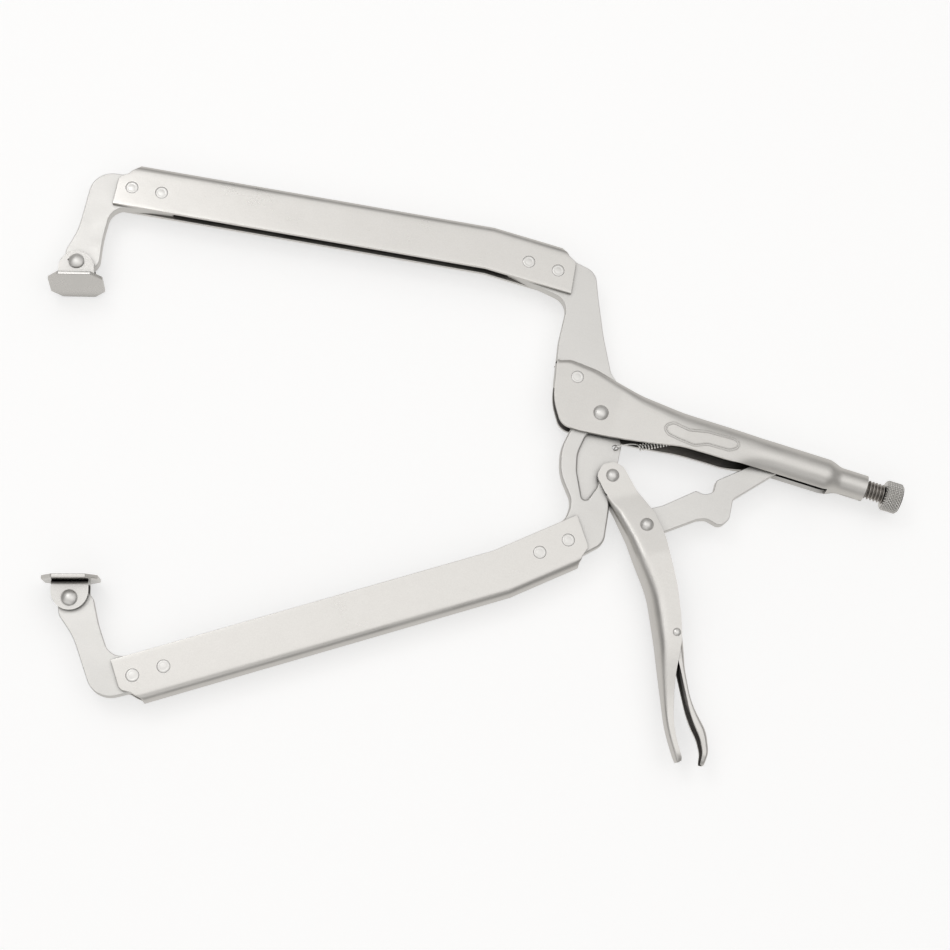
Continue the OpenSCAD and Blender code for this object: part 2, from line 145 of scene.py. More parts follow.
def rounded(points, step=ARC_STEP):
    """Outline whose corners (x, y, radius) are rounded with arcs of step degrees."""
    out = []
    count = len(points)
    for i in range(count):
        x, y, r = points[i]
        here = Vector((x, y))
        if r == 0:
            out.append(here)
            continue
        u = (Vector(points[i - 1][:2]) - here).normalized()
        v = (Vector(points[(i + 1) % count][:2]) - here).normalized()
        half = math.acos(max(-1, min(1, u.dot(v)))) / 2
        c = here + (u + v).normalized() * r / math.sin(half)
        reach = r / math.tan(half)
        a = here + u * reach - c
        b = here + v * reach - c
        a0 = math.atan2(a.y, a.x)
        sweep = (math.atan2(b.y, b.x) - a0 + math.pi) % (2 * math.pi) - math.pi
        n = max(1, math.ceil(abs(math.degrees(sweep)) / step))
        out += [c + polar(a0 + sweep * k / n, r) for k in range(n + 1)]
    return clean(out)


def clean(points, gap=0.02):
    """Drops points that fall on the one before them."""
    kept = []
    for p in points:
        if not kept or (p - kept[-1]).length > gap:
            kept.append(p)
    if (kept[0] - kept[-1]).length <= gap:
        kept.pop()
    return kept


def circle(centre, radius, count=40):
    return [Vector(centre) + polar(2 * math.pi * k / count, radius) for k in range(count)]


def area(loop):
    """Signed area, positive for a loop that runs anticlockwise."""
    return sum(a.x * b.y - b.x * a.y for a, b in zip(loop, loop[1:] + loop[:1])) / 2


def inset(loop, distance):
    """Moves an outline to its left by a distance, mitred."""
    out = []
    for i in range(len(loop)):
        d0 = (loop[i] - loop[i - 1]).normalized()
        d1 = (loop[(i + 1) % len(loop)] - loop[i]).normalized()
        n = Vector((-d0.y, d0.x)) + Vector((-d1.y, d1.x))
        if n.length < 1e-6:
            n = Vector((-d0.y, d0.x))
        n.normalize()
        out.append(loop[i] + n * distance / max(0.5, n.dot(Vector((-d0.y, d0.x)))))
    return out


def path_through(points, n):
    """Points that divide a polyline into n equal steps."""
    total = [0.0]
    for a, b in zip(points, points[1:]):
        total.append(total[-1] + (b - a).length)
    out, k = [], 0
    for i in range(n + 1):
        d = total[-1] * i / n
        while k < len(points) - 2 and total[k + 1] < d:
            k += 1
        span = total[k + 1] - total[k]
        out.append(points[k].lerp(points[k + 1], 0 if span == 0 else (d - total[k]) / span))
    return out


# ---------------------------------------------------------------- meshes
MERGE = 0.003
SHARP = 38


def new_object(bm, name, matrix):
    """Puts a mesh drawn in millimetres into the scene; the matrix places its vertices."""
    bmesh.ops.recalc_face_normals(bm, faces=bm.faces)
    bm.transform(matrix)
    if matrix.determinant() < 0:
        bmesh.ops.reverse_faces(bm, faces=bm.faces)
    mesh = bpy.data.meshes.new(name)
    bm.to_mesh(mesh)
    bm.free()
    thing = bpy.data.objects.new(name, mesh)
    bpy.context.scene.collection.objects.link(thing)
    return thing


def finish_mesh(bm, name, matrix, body, material, replaces=(), sharp=SHARP, weighted=True):
    """Makes a visible piece that rides on a body and stands for the CAD nodes in replaces."""
    bmesh.ops.remove_doubles(bm, verts=bm.verts, dist=MERGE)
    piece = new_object(bm, name, matrix)
    mesh = piece.data
    for poly in mesh.polygons:
        poly.use_smooth = True
    mesh.set_sharp_from_angle(angle=math.radians(sharp))
    mesh.materials.append(material)
    if any(poly.material_index for poly in mesh.polygons):
        mesh.materials.append(inside_mat)
    if weighted:
        mod = piece.modifiers.new("normals", "WEIGHTED_NORMAL")
        mod.keep_sharp = True
        mod.weight = 80
    if body:
        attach(piece, body)
    if replaces:
        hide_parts(*replaces)
    return piece


def add_plate(bm, outline, holes, half, edge, steps=3):
    """Flat plate between -half and half whose rims are rounded by edge."""
    loops = [outline if area(outline) > 0 else outline[::-1]]
    loops += [h if area(h) < 0 else h[::-1] for h in holes]
    levels = []
    for k in range(steps + 1):
        a = math.pi / 2 * k / steps
        levels.append((half - edge + edge * math.sin(a), edge * (1 - math.cos(a))))
    heights = [(-z, d) for z, d in reversed(levels)] + levels
    caps = {0: [], len(heights) - 1: []}
    for loop in loops:
        rings = []
        for z, d in heights:
            rings.append([bm.verts.new((p.x, p.y, z)) for p in inset(loop, d)])
        for low, high in zip(rings, rings[1:]):
            for i in range(len(loop)):
                j = (i + 1) % len(loop)
                bm.faces.new((low[i], low[j], high[j], high[i]))
        caps[0].append(rings[0])
        caps[len(heights) - 1].append(rings[-1])
    for rings in caps.values():
        rim = [bm.edges.get((ring[k - 1], ring[k])) for ring in rings for k in range(len(ring))]
        bmesh.ops.triangle_fill(bm, use_beauty=True, use_dissolve=False, edges=rim)


def plate(name, outline, holes, half, edge, matrix, body, material, replaces):
    bm = bmesh.new()
    add_plate(bm, outline, holes, half, edge)
    return finish_mesh(bm, name, matrix, body, material, replaces)


def bridge(bm, rings):
    """Faces between rings of vertices; a ring of one vertex is a pole."""
    for a, b in zip(rings, rings[1:]):
        count = max(len(a), len(b))
        for k in range(count):
            j = (k + 1) % count
            corners = [a[k % len(a)], a[j % len(a)], b[j % len(b)], b[k % len(b)]]
            face = list(dict.fromkeys(corners))
            if len(face) > 2:
                bm.faces.new(face)


def add_lathe(bm, profile, centre, count=48):
    """Solid of revolution about Z: profile points are (radius, height)."""
    place = Matrix.Translation(Vector(centre))
    rings = []
    for r, h in profile:
        ring = []
        for k in range(1 if r < 1e-6 else count):
            a = 2 * math.pi * k / count
            ring.append(bm.verts.new(place @ Vector((r * math.cos(a), r * math.sin(a), h))))
        rings.append(ring)
    bridge(bm, rings)


def add_tube(bm, points, radius, count=10):
    """Round wire along a path."""
    up = Vector((0, 0, 1))
    rings = []
    for i, p in enumerate(points):
        ahead = (points[min(i + 1, len(points) - 1)] - points[max(i - 1, 0)]).normalized()
        side = ahead.cross(up)
        if side.length < 1e-4:
            side = Vector((1, 0, 0))
        side.normalize()
        up = side.cross(ahead).normalized()
        ring = []
        for k in range(count):
            a = 2 * math.pi * k / count
            ring.append(bm.verts.new(p + (side * math.cos(a) + up * math.sin(a)) * radius))
        rings.append(ring)
    bridge(bm, rings)
    bm.faces.new(rings[0][::-1])
    bm.faces.new(rings[-1])


def dome_profile(shank, head, rise, z, rim=0.18, steps=12):
    """Half profile of a rivet with a domed head on each side."""
    big = (head * head + (rise - rim) ** 2) / (2 * (rise - rim))
    top = [(shank, z), (head - 0.06, z), (head, z + 0.06), (head, z + rim * 0.7)]
    a0 = math.asin(min(1, head / big))
    for k in range(1, steps + 1):
        a = a0 * (1 - k / steps)
        top.append((max(0, big * math.sin(a)), z + rise - big + big * math.cos(a)))
    return [(r, -h) for r, h in reversed(top)] + top


def flush_profile(radius, z):
    """Half profile of a flush rivet: a flat end with a rim and a faint ring left by the punch."""
    end, chamfer = z + 0.15, 0.18
    top = [(radius, z - 0.6), (radius, z + 0.02), (radius - chamfer, end), (radius * 0.66, end),
           (radius * 0.6, end - 0.06), (radius * 0.54, end - 0.02), (0, end)]
    return [(r, -h) for r, h in reversed(top)] + top


def rivets(name, points, profile, matrix, body, material, replaces):
    bm = bmesh.new()
    for x, y in points:
        add_lathe(bm, profile, (x, y, 0))
    return finish_mesh(bm, name, matrix, body, material, replaces, sharp=50, weighted=False)


# ---------------------------------------------------------------- folded sheet
# Number of cells across a cheek, round a bend and from there to the middle of the spine.
CHEEK, ARC, SPINE = 10, 7, 3
# Material slot of the faces on the hidden side of a sheet, which carry painted shade.
INSIDE = 1


def section(along, length, half, bend, closed, thick):
    """A folded section between its two open edges, over the spine: outer points and inner points."""
    rows = []
    for inner in (False, True):
        h = half - (thick if inner else 0)
        d = length - (thick if inner and closed else 0)
        r = (max(0.15, bend - thick) if inner else bend) if closed else 0
        half_row = [(along((d - r) * k / CHEEK), h) for k in range(CHEEK + 1)]
        for k in range(1, ARC + 1):
            a = math.pi / 2 * k / ARC
            half_row.append((along(d - r + r * math.sin(a)), h - r + r * math.cos(a)))
        for k in range(1, SPINE + 1):
            half_row.append((along(d), (h - r) * (1 - k / SPINE)))
        right = [Vector((p.x, p.y, z)) for p, z in half_row]
        left = [Vector((p.x, p.y, -z)) for p, z in half_row[:-1]]
        rows.append(right + left[::-1])
    return rows


def straight(edge, spine):
    """Side view line from an open edge to the spine, by distance."""
    way = spine - edge
    total = way.length
    unit = way / total if total > 1e-9 else Vector((0, 1))
    return (lambda d: edge + unit * d), total


def add_sheet(bm, outer, inner, keep, rim=0.35):
    """Sheet metal between two grids of points; keep(i, j) says which cells exist."""
    rows, columns = len(outer), len(outer[0])
    cells = [(i, j) for i in range(rows - 1) for j in range(columns - 1) if keep(i, j)]
    live = set(cells)
    front, back = {}, {}

    def vert(store, grid, i, j):
        if (i, j) not in store:
            store[(i, j)] = bm.verts.new(grid[i][j])
        return store[(i, j)]

    ridge = []
    for i, j in cells:
        ring = [(i, j), (i + 1, j), (i + 1, j + 1), (i, j + 1)]
        bm.faces.new([vert(front, outer, *c) for c in ring])
        bm.faces.new([vert(back, inner, *c) for c in reversed(ring)]).material_index = INSIDE
        neighbours = [(i, j - 1), (i + 1, j), (i, j + 1), (i - 1, j)]
        for k, n in enumerate(neighbours):
            if n not in live:
                a, b = ring[k], ring[(k + 1) % 4]
                fa, fb = vert(front, outer, *a), vert(front, outer, *b)
                ba, bb = vert(back, inner, *a), vert(back, inner, *b)
                try:
                    bm.faces.new((fb, fa, ba, bb))
                except ValueError:
                    continue
                ridge += [bm.edges.get((fa, fb)), bm.edges.get((ba, bb))]
    bmesh.ops.remove_doubles(bm, verts=bm.verts, dist=MERGE)
    bmesh.ops.dissolve_degenerate(bm, dist=0.002, edges=bm.edges)
    ridge = [e for e in ridge if e.is_valid and e.is_manifold]
    bmesh.ops.bevel(bm, geom=ridge, offset=rim, offset_type="OFFSET", segments=2, profile=0.5,
                    affect="EDGES", clamp_overlap=True)


def drill(piece, points, radius, matrix, reach=40):
    """Cuts plain holes across the tool."""
    bm = bmesh.new()
    for x, y in points:
        add_lathe(bm, [(0, -reach), (radius, -reach), (radius, reach), (0, reach)], (x, y, 0), count=40)
    tool = new_object(bm, "drill", matrix)
    mod = piece.modifiers.new("holes", "BOOLEAN")
    mod.operation = "DIFFERENCE"
    mod.solver = "EXACT"
    mod.object = tool
    piece.modifiers["normals"].show_viewport = False
    bpy.context.view_layer.update()
    deps = bpy.context.evaluated_depsgraph_get()
    cut = bpy.data.meshes.new_from_object(piece.evaluated_get(deps))
    piece.modifiers.remove(mod)
    piece.modifiers["normals"].show_viewport = True
    cut.set_sharp_from_angle(angle=math.radians(SHARP))
    piece.data = cut
    bpy.data.objects.remove(tool)
    return piece


# ---------------------------------------------------------------- materials
def metal(name, tint, dark, rough, grain=0.25, streak_angle=0.0, streak=0.15, reach=0.012):
    """Plated steel: fine grain, streaks along one direction, smudges, worn edges and painted shade in
    hollows.
    """
    spread = 0.06
    mat = bpy.data.materials.new(name)
    mat.use_nodes = True
    nodes, links = mat.node_tree.nodes, mat.node_tree.links
    shader = nodes["Principled BSDF"]
    shader.inputs["Metallic"].default_value = 1.0
    place = nodes.new("ShaderNodeTexCoord")

    def noise(scale, detail, source=None):
        n = nodes.new("ShaderNodeTexNoise")
        n.inputs["Scale"].default_value = scale
        n.inputs["Detail"].default_value = detail
        n.inputs["Roughness"].default_value = 0.55
        links.new(source or place.outputs["Object"], n.inputs["Vector"])
        return n.outputs["Fac"]

    def span(source, low, high, out_low, out_high):
        n = nodes.new("ShaderNodeMapRange")
        for key, value in (("From Min", low), ("From Max", high), ("To Min", out_low), ("To Max", out_high)):
            n.inputs[key].default_value = value
        links.new(source, n.inputs["Value"])
        return n.outputs["Result"]

    def math_node(op, a, b):
        n = nodes.new("ShaderNodeMath")
        n.operation = op
        for k, v in enumerate((a, b)):
            if isinstance(v, (int, float)):
                n.inputs[k].default_value = v
            else:
                links.new(v, n.inputs[k])
        return n.outputs["Value"]

    # Three sizes of noise, and one drawn out into streaks.
    smudge = noise(45, 4)
    speckle = noise(1700, 3)
    fine = noise(4200, 2)
    turn = nodes.new("ShaderNodeMapping")
    turn.inputs["Rotation"].default_value = (0, 0, -streak_angle)
    turn.inputs["Scale"].default_value = (60, 2600, 900)
    links.new(place.outputs["Object"], turn.inputs["Vector"])
    lines = noise(1.0, 4, turn.outputs["Vector"])

    # Edges are where the rounded normal leaves the true one.
    bevel = nodes.new("ShaderNodeBevel")
    bevel.samples = 4
    bevel.inputs["Radius"].default_value = 0.0007
    geometry = nodes.new("ShaderNodeNewGeometry")
    dot = nodes.new("ShaderNodeVectorMath")
    dot.operation = "DOT_PRODUCT"
    links.new(bevel.outputs["Normal"], dot.inputs[0])
    links.new(geometry.outputs["Normal"], dot.inputs[1])
    edge = span(dot.outputs["Value"], 0.86, 0.995, 1.0, 0.0)

    # Colour: two tints, brighter worn edges and painted shade in hollows that the light doesn't reach.
    tone = math_node("ADD", span(smudge, 0.3, 0.7, 0.0, 0.6), span(speckle, 0.3, 0.7, 0.0, 0.4))
    mix = nodes.new("ShaderNodeMix")
    mix.data_type = "RGBA"
    mix.inputs[6].default_value = (*dark, 1)
    mix.inputs[7].default_value = (*tint, 1)
    links.new(tone, mix.inputs[0])
    worn = nodes.new("ShaderNodeMix")
    worn.data_type = "RGBA"
    worn.inputs[7].default_value = (*[min(1, c * 1.06) for c in tint], 1)
    links.new(mix.outputs[2], worn.inputs[6])
    links.new(math_node("MULTIPLY", edge, 0.6), worn.inputs[0])
    # Painted shade: ambient occlusion darkens the colour in hollows, creases and between parts.
    painted_hollow_shade = nodes.new("ShaderNodeAmbientOcclusion")
    painted_hollow_shade.samples = 6
    painted_hollow_shade.inputs["Distance"].default_value = reach
    shade = nodes.new("ShaderNodeMix")
    shade.data_type = "RGBA"
    shade.blend_type = "MULTIPLY"
    shade.inputs[0].default_value = 1.0
    links.new(worn.outputs[2], shade.inputs[6])
    links.new(span(painted_hollow_shade.outputs["AO"], 0.12, 0.8, 0.16, 1.0), shade.inputs[7])
    links.new(shade.outputs[2], shader.inputs["Base Color"])

    broad = span(smudge, 0.3, 0.7, rough - spread, rough + spread)
    level = math_node("ADD", broad, span(lines, 0.3, 0.7, -spread / 2, spread / 2))
    polish = math_node("MULTIPLY", edge, 0.06)
    links.new(math_node("SUBTRACT", level, polish), shader.inputs["Roughness"])

    bump = nodes.new("ShaderNodeBump")
    bump.inputs["Distance"].default_value = 0.00002
    bump.inputs["Strength"].default_value = grain
    links.new(fine, bump.inputs["Height"])
    second = nodes.new("ShaderNodeBump")
    second.inputs["Distance"].default_value = 0.00004
    second.inputs["Strength"].default_value = streak
    links.new(lines, second.inputs["Height"])
    links.new(bump.outputs["Normal"], second.inputs["Normal"])
    links.new(second.outputs["Normal"], shader.inputs["Normal"])
    return mat


NICKEL = (0.80, 0.785, 0.76)
NICKEL_DARK = (0.70, 0.685, 0.66)
nickel_handle = metal("satin_nickel_handle", NICKEL, NICKEL_DARK, 0.42)
nickel_upper = metal("satin_nickel_upper_arm", NICKEL, NICKEL_DARK, 0.33,
                     streak_angle=UPPER_ANGLE, streak=0.25)
nickel_lower = metal("satin_nickel_lower_arm", NICKEL, NICKEL_DARK, 0.33,
                     streak_angle=LOWER_ANGLE, streak=0.2)
nickel_lever = metal("satin_nickel_lever", NICKEL, NICKEL_DARK, 0.35, streak_angle=math.radians(-62))
# The inner faces of folded sheets get a much darker colour and a longer occlusion reach: painted shade for
# the inside of the channels.
inside_mat = metal("inside_painted_shade", (0.50, 0.475, 0.45), (0.33, 0.315, 0.30), 0.48,
                   grain=0.3, streak=0.05, reach=0.02)
plate_mat = metal("tumbled_nickel_plate", (0.81, 0.80, 0.78), (0.72, 0.71, 0.69), 0.42,
                  grain=0.4, streak=0.05)
rivet_mat = metal("rivet_steel_plated", (0.84, 0.83, 0.81), (0.76, 0.75, 0.73), 0.36,
                  streak=0.02, reach=0.001)
pad_mat = metal("bright_pad_pressing", (0.78, 0.765, 0.745), (0.68, 0.67, 0.65), 0.27,
                grain=0.15, streak=0.08)
spring_mat = metal("spring_wire", (0.93, 0.92, 0.90), (0.82, 0.81, 0.79), 0.26,
                   grain=0.1, streak=0.02, reach=0.002)
screw_mat = metal("rolled_thread", (0.62, 0.59, 0.56), (0.45, 0.42, 0.39), 0.34, grain=0.2, streak=0.05)
knob_mat = metal("knurled_nickel", (0.78, 0.765, 0.74), (0.66, 0.65, 0.63), 0.3,
                 grain=0.15, streak=0.02, reach=0.001)


# ---------------------------------------------------------------- arms
BEND_X, OPEN_EDGE = 38.0, -6.3
FRONT_DROP, REAR_DROP = math.radians(-1.25), math.radians(6)
ARM_DEPTH, BACK_R = 24.7, 4.6
ARM_FRONT, ARM_REAR = ARM_SPAN + 8, -8.9


def smooth(t):
    t = max(0.0, min(1.0, t))
    return t * t * (3 - 2 * t)


def ramp(x, x0, x1, y0, y1, ease=False):
    """Goes from y0 at x0 to y1 at x1 and stays level outside them."""
    t = max(0.0, min(1.0, (x - x0) / (x1 - x0)))
    return y0 + (y1 - y0) * (smooth(t) if ease else t)


def front_end(y):
    """The trimmed front end in side view: a straight end, a chamfer, then a step back to the rounded back."""
    if y < 4.6:
        return ARM_FRONT
    if y < 8.0:
        return ARM_FRONT - 5.5 * smooth((y - 4.2) / 4.6)
    return ARM_FRONT - ramp(y, 8.0, 13.5, 5.35, 9.5, True)


def rear_end(y):
    """The trimmed rear end in side view: two steps back to the rounded back."""
    if y < 10.6:
        return ramp(y, 6.2, 10.6, ARM_REAR + 0.1, -3.9, True)
    return ramp(y, 10.6, 13.6, -3.9, -0.8, True)


def arm_channel(name, matrix, body, material, node):
    """The channel of an arm, which is slightly bent in side view at BEND_X."""
    lean = math.tan((REAR_DROP - FRONT_DROP) / 2)
    pivot = Vector((BEND_X, OPEN_EDGE))
    rear_steps, front_steps = 14, 40
    stations = [-1 + k / rear_steps for k in range(rear_steps)]
    stations += [k / front_steps for k in range(front_steps + 1)]

    def along_at(u):
        """Side view line across the arm at u, from -1 at the rear end over 0 at the bend to 1 in front."""
        front = u >= 0
        drop = FRONT_DROP if front else REAR_DROP
        end_line = front_end if front else rear_end
        c, s = math.cos(drop), math.sin(drop)

        def point(b):
            near = -b * lean if front else b * lean
            x0 = pivot.x + near * c - b * s
            end = end_line(pivot.y + near * s + b * c)
            for _ in range(3):
                far = near + (end - x0) / c
                end = end_line(pivot.y + far * s + b * c)
            a = near + (far - near) * abs(u)
            return Vector((pivot.x + a * c - b * s, pivot.y + a * s + b * c))
        return point

    outer, inner = [], []
    for u in stations:
        o, i = section(along_at(u), ARM_DEPTH, ARM_W / 2, BACK_R, True, SHEET)
        outer.append(o)
        inner.append(i)
    bm = bmesh.new()
    add_sheet(bm, outer, inner, lambda i, j: True)
    piece = finish_mesh(bm, name, matrix, body, material, (node,))
    return drill(piece, REAR_RIVETS + FRONT_RIVETS, RIVET_R + 0.12, matrix)


PLATE_EDGE = 0.45
TIP = [
    (ARM_SPAN - 23.5, -8.6, 1), (ARM_SPAN - 23.5, 8.2, 3), (ARM_SPAN + 6, 7.2, 4),
    (PAD_X + 2.6, 6, 12), (PAD_X + 3.6, -28, 40), (PAD_X + 7.4, PAD_Y + 6, 6), (PAD_X + 5.2, PAD_Y - 4.6, 5),
    (PAD_X - 1.6, PAD_Y - 6.9, 5), (PAD_X - 7.4, PAD_Y - 3.6, 5), (PAD_X - 11.0, PAD_Y + 2.6, 6),
    (PAD_X - 9.8, -30, 60), (PAD_X - 10.4, -11.8, 9), (ARM_SPAN - 12, -9.3, 20),
]


def arm(side, matrix, body, material):
    arm_channel(f"{side}_arm", matrix, body, material, f"{side}_arm_channel")
    bore = circle((PAD_X, PAD_Y), PAD_BORE)
    plate(f"{side}_tip", rounded(TIP), [bore], PLATE / 2, PLATE_EDGE, matrix, body, plate_mat,
          (f"{side}_tip_plate",))
    for place, points in (("rear", REAR_RIVETS), ("front", FRONT_RIVETS)):
        rivets(f"{side}_{place}_rivet_pair", points, flush_profile(RIVET_R, ARM_W / 2), matrix, body,
               rivet_mat, (f"{side}_{place}_rivets",))


arm("upper", UPPER, "handle", nickel_upper)
arm("lower", LOWER, "moving_jaw", nickel_lower)

# ---------------------------------------------------------------- jaw plates
ROOT = [
    (-27.5, 7.5, 3), (-12, 5, 1), (-4, 12.5, 0), (4.6, 13.2, 0.5), (4.6, 18.6, 0.8), (-0.6, 23, 12),
    (-10, 41.5, 60), (-18.5, 61.5, 30), (-23.6, 74.8, 9), (-36, 77, 4), (-68, 68, 1),
    (-68, 59.6, 1), (-44, 56.4, 20), (-33.2, 54.6, 9), (-31.8, 32, 30),
]
plate("fixed_root", rounded(ROOT), [], PLATE / 2, PLATE_EDGE, WORK, "handle", plate_mat,
      ("fixed_jaw_root",))

JAW = [
    (-9.5, 3, 5), (-12.6, -12.5, 14), (-14.6, -24, 22), (-11.5, -37, 26), (-1.2, -50, 11), (-2, -60, 7),
    (-22.4, -77.9, 1), (-16.8, -87.9, 1), (-4, -78.5, 4), (11.5, -75.3, 6), (20.6, -66, 8),
    (18, -46, 30), (15.2, -38.5, 2), (19, -33, 5), (17.5, -25.5, 4), (12, -23.6, 4), (8.8, -28, 5),
    (9, -38, 8), (4.9, -49.8, 2), (-3.2, -33, 14), (-5.3, -24, 14), (-4, -14.5, 8), (-2, -9.4, 1),
    (5, -10, 5), (10, -2, 7), (7.5, 7.5, 6), (-3, 10.2, 6),
]
WEB = [
    (-2, -4, 3), (-7, -12, 4), (-8.5, -25, 10), (-5.5, -36, 8), (4.6, -52, 3), (12, -38, 4),
    (16.1, -30, 4), (16.1, -24, 6), (15.4, -13, 4), (11.8, -6, 5), (4, -2, 3),
]


def moving_jaw_plate():
    """A forged C of full thickness round a thin web that holds the spring's hole."""
    web_half = 1.25
    bm = bmesh.new()
    bores = [circle(LEVER_PIVOT, PIVOT_BORE, 32), circle((0, 0), MAIN_BORE, 32)]
    add_plate(bm, rounded(JAW), bores, PLATE / 2, 1.1)
    holes = [circle(HOOK_HOLE, 1.5, 24), circle(LEVER_PIVOT, PIVOT_BORE, 32)]
    add_plate(bm, rounded(WEB), holes, web_half, 0.3)
    return finish_mesh(bm, "moving_jaw_plate", WORK, "moving_jaw", plate_mat, ("lower_jaw",))


moving_jaw_plate()

# ---------------------------------------------------------------- handle
# Both lines are seen from the side: the spine on top, and the open edge that runs round the nose and along
# the bottom. Between NECK_FROM and NECK_TO the tube narrows to the socket.
TOP_Y, SLOT_Y = TUBE_Y + TUBE_R, -4.75
STRAIGHT_FROM = 60
NOSE_TO = 10.0
SPINE_OPEN_TO, SLOT_TO = 5.0, 124
NECK_FROM, NECK_TO = 121, 130

spine_line = rounded([
    (-29.4, 21.2, 0), (-22.5, 23.8, 9), (-8, 23.0, 30), (18, 16.9, 60), (42, TOP_Y, 60),
    (STRAIGHT_FROM, TOP_Y, 0), (STRAIGHT_FROM + 1, -40, 0),
], 3)
spine_line = [p for p in spine_line if p.y > 0]
edge_line = rounded([
    (STRAIGHT_FROM, -40, 0), (STRAIGHT_FROM, SLOT_Y, 0), (45, -5.1, 60), (27, -8.3, 90), (10, -10.6, 60),
    (-8, -12.6, 9), (-18.0, -12.4, 8), (-25.6, 0, 30), (-29.6, 20.6, 0), (-60, 100, 0),
], 3)
edge_line = [p for p in edge_line if -30 < p.y < 50][::-1]


def upto(points, x_end):
    """The part of a line before x_end."""
    out = []
    for p in points:
        if out and p.x >= x_end > out[-1].x:
            q = out[-1]
            out.append(q.lerp(p, (x_end - q.x) / (p.x - q.x)))
            break
        out.append(p)
    return out


def height_at(points, x):
    """Height of a line at x, for a line that runs towards +X."""
    for a, b in zip(points, points[1:]):
        if a.x <= x <= b.x and b.x > a.x:
            return a.y + (b.y - a.y) * (x - a.x) / (b.x - a.x)
    return points[-1].y


def handle_stations():
    """Pairs of points from the open edge to the spine: fanned round the nose, then upright."""
    nose_steps, body_step, neck_step = 46, 1.6, 1.2
    edges = path_through(upto(edge_line, NOSE_TO), nose_steps)
    tops = path_through(upto(spine_line, NOSE_TO), nose_steps)
    lower_edge = [p for p in edge_line if p.x > 0]
    stations = list(zip(edges, tops))
    x = NOSE_TO
    while x < NECK_FROM + 1:
        x += body_step
        if x < STRAIGHT_FROM:
            low, high = height_at(lower_edge, min(x, STRAIGHT_FROM - 0.1)), height_at(spine_line, x)
        else:
            low, high = SLOT_Y, TOP_Y
        stations.append((Vector((x, low)), Vector((x, high))))
    x = stations[-1][0].x
    neck = [x + neck_step * k for k in range(1, int((SOCKET_END - x) / neck_step))] + [SOCKET_END]
    return stations + [(Vector((x, SLOT_Y)), Vector((x, TOP_Y))) for x in neck]


def handle_sheet():
    """Folded cheeks and spine that curl into a tube with a slot below, and close round the socket."""
    stations = handle_stations()
    outer, inner = [], []
    slot_angle = math.asin(4.8 / TUBE_R)
    under_cells = 4
    for e, t in stations:
        x = t.x
        half = ramp(max(x, e.x), 8, 44, CHEEK_HALF, FULL_HALF)
        bend = ramp(x, -30, 0, 3.2, 4.6) if x < 0 else ramp(x, 0, 44, 4.6, 8.6)
        along, length = straight(e, t)
        bend = min(bend, half - 0.4, max(0.3, length * 0.8))
        rows = section(along, length, half, bend, True, SHEET)
        curl = smooth((x - 66) / 28)
        centre_y = ramp(x, NECK_FROM, NECK_TO, TUBE_Y, AXIS_Y)
        radius = ramp(x, NECK_FROM, NECK_TO, TUBE_R, SOCKET_R, True)
        thick = ramp(x, NECK_FROM, NECK_TO, SHEET, SOCKET_R - SCREW_R - 0.06)

        def on_ring(a, r):
            return Vector((x, centre_y + r * math.sin(a), r * math.cos(a)))

        for rows_out, row, r in ((outer, rows[0], radius), (inner, rows[1], radius - thick)):
            last = len(row) - 1
            if curl > 0:
                for k in range(last + 1):
                    a = -math.pi / 2 + slot_angle + (2 * math.pi - 2 * slot_angle) * k / last
                    row[k] = row[k].lerp(on_ring(a, r), curl)
            under = [on_ring(-math.pi / 2 + slot_angle * k / under_cells, r) for k in range(under_cells)]
            rows_out.append(under + row + [Vector((p.x, p.y, -p.z)) for p in reversed(under)])
    spine_from = under_cells + CHEEK + 5
    columns = len(outer[0])

    def keep(i, j):
        mirrored = min(j, columns - 2 - j)
        x = (stations[i][1].x + stations[i + 1][1].x) / 2
        if mirrored < under_cells:
            return x > SLOT_TO
        if x < SPINE_OPEN_TO:
            return mirrored < spine_from
        return True

    bm = bmesh.new()
    add_sheet(bm, outer, inner, keep, rim=0.4)
    piece = finish_mesh(bm, "handle_sheet", WORK, "handle", nickel_handle, ("handle_body",))
    return drill(piece, [tuple(FIXED_RIVET)], RIVET_R + 0.1, WORK)


handle = handle_sheet()

CARTOUCHE = [
    (33.5, 2.4, 2), (37.5, 5.2, 2.5), (46, 3.6, 3), (55.5, 5.8, 2.5), (70.5, 6.4, 2.5), (73.5, 3.8, 2),
    (68.5, 0.6, 2.5), (57, 0.2, 3), (50.5, -2.6, 3), (42.5, -1.8, 2.5), (36.5, -0.6, 2),
]


def cartouche(piece):
    """A plain double outline raised on the near cheek."""
    tree = BVHTree.FromObject(piece, bpy.context.evaluated_depsgraph_get())
    back = piece.matrix_world.inverted()
    down = (back.to_3x3() @ Vector((0, 0, -1))).normalized()

    def land(p):
        start = WORK @ Vector((p[0], p[1], FULL_HALF + 12))
        hit = tree.ray_cast(back @ start, down)[0]
        return WORK.inverted() @ (piece.matrix_world @ hit)

    bm = bmesh.new()
    ring = rounded(CARTOUCHE, 5)
    for line, wire in ((ring, 0.34), (inset(ring, 1.1), 0.24)):
        loop = path_through(line + line[:2], 150)
        add_tube(bm, [land(p) for p in loop], wire, 8)
    return finish_mesh(bm, "handle_cartouche", WORK, "handle", nickel_handle, (),
                       sharp=60, weighted=False)


cartouche(handle)

